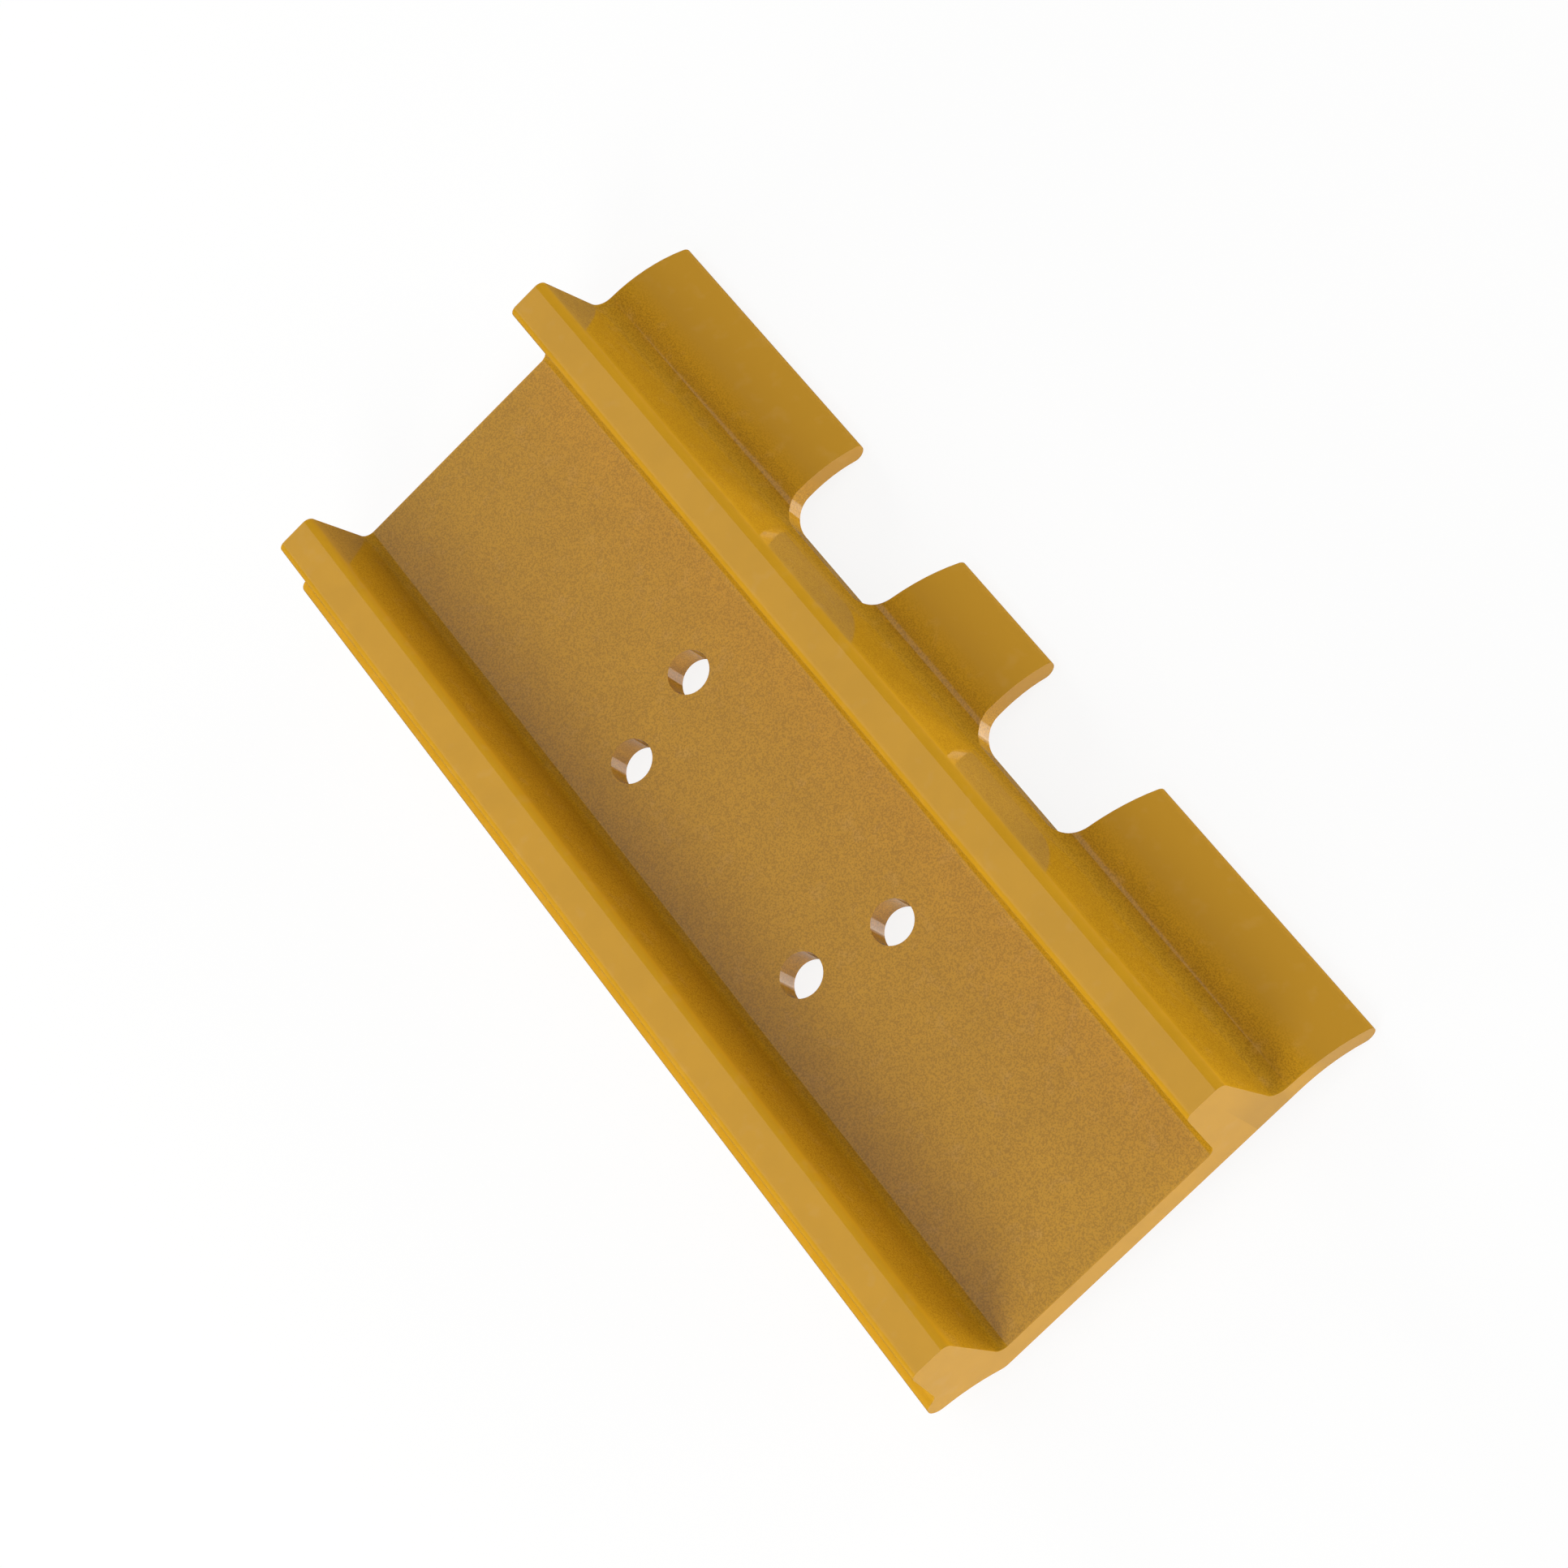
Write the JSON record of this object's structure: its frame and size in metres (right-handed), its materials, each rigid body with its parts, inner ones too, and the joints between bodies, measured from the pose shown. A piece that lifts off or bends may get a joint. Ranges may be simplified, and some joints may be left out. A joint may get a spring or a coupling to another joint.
{
  "type": "excavator track shoe",
  "caption": "Rolled double-grouser track shoe with link notches in its curved front lip and bolt holes through the web, for a crawler undercarriage.",
  "frame": {"origin": "middle of the bolt pattern, on the flat seat that bolts down on the track links", "axes": "+X across the track along the rolled bar, +Y to the notched front lip, +Z to the ground side, where the grousers point"},
  "size_m": [0.5, 0.2299, 0.066],
  "materials": {
    "paint": "satin"
  },
  "bodies": {
    "root": {"track_shoe": "paint"}
  },
  "joints": []
}
